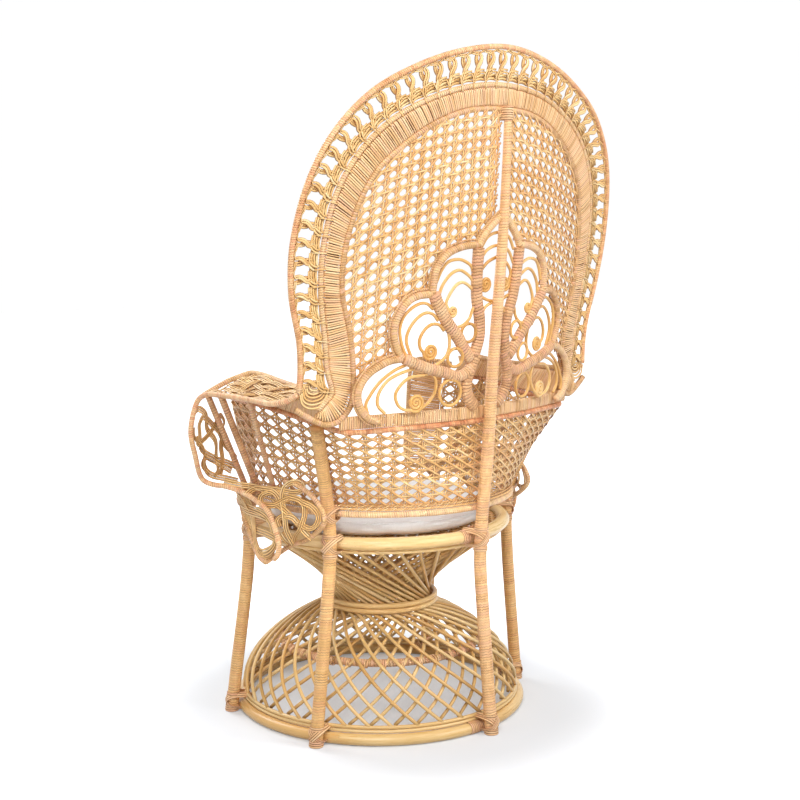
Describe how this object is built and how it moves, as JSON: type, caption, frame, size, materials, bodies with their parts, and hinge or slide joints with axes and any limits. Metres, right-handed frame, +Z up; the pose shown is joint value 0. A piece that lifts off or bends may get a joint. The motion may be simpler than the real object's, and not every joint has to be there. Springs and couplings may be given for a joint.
{
  "type": "peacock chair",
  "caption": "Rattan peacock chair with a tall fan back, basket seat and arms, an hourglass base of crossing rods on a floor ring, and a loose round seat cushion.",
  "frame": {"origin": "on the floor, under the middle of the chair's box", "axes": "+Z up, -Y where the sitter faces, +X to the sitter's left"},
  "size_m": [0.967, 0.7323, 1.4663],
  "materials": {
    "pole": "smooth varnished rattan",
    "wrapped": "cane wound over rattan poles",
    "weave": "woven split cane",
    "cushion": "off-white linen"
  },
  "bodies": {
    "frame": {"base_ring": "pole", "base_trim_ring": "pole", "hourglass_outer_rods": "pole", "hourglass_inner_rods": "pole", "waist_ring_lower": "pole", "waist_ring_upper": "pole", "seat_ring": "pole", "seat_trim_ring": "pole", "seat_deck": "weave", "rear_centre_post": "wrapped", "rear_side_post_left": "wrapped", "rear_side_post_right": "wrapped", "front_post_left": "wrapped", "front_post_right": "wrapped", "foot_lashing_rear_centre": "wrapped", "seat_lashing_rear_centre": "wrapped", "foot_lashing_rear_side_left": "wrapped", "seat_lashing_rear_side_left": "wrapped", "foot_lashing_rear_side_right": "wrapped", "seat_lashing_rear_side_right": "wrapped", "foot_lashing_front_left": "wrapped", "seat_lashing_front_left": "wrapped", "foot_lashing_front_right": "wrapped", "seat_lashing_front_right": "wrapped", "wall_lower_rim": "wrapped", "wall_lower_trim": "wrapped", "wall_top_rail": "wrapped", "wall_weave": "weave", "fan_outer_rim": "wrapped", "fan_mid_rim": "wrapped", "fan_inner_rim": "wrapped", "fan_lace": "weave", "fan_band": "wrapped", "tail_outline_left": "wrapped", "tail_outline_right": "wrapped", "fan_field": "weave", "fan_foot_rail": "wrapped", "tail_branch_left": "wrapped", "tail_branch_right": "wrapped", "tail_loops_centre": "pole", "tail_loops_upper_left": "pole", "tail_loops_upper_right": "pole", "tail_loops_middle_left": "pole", "tail_loops_middle_right": "pole", "tail_loops_lower_left": "pole", "tail_loops_lower_right": "pole", "arm_outer_rod_left": "wrapped", "arm_outer_rod_right": "wrapped", "arm_rail_left": "wrapped", "arm_rail_right": "wrapped", "arm_band_left": "wrapped", "arm_band_right": "wrapped", "arm_top_weave_left": "weave", "arm_top_weave_right": "weave", "arm_front_left": "weave", "arm_front_right": "weave", "arm_pod_left": "weave", "arm_pod_right": "weave"},
    "cushion": {"seat_cushion": "cushion"}
  },
  "joints": [
    {"name": "seat_lift", "type": "slide", "parent": "frame", "child": "cushion", "axis": [0, 0, 1], "range_m": [0, 0.3]}
  ]
}
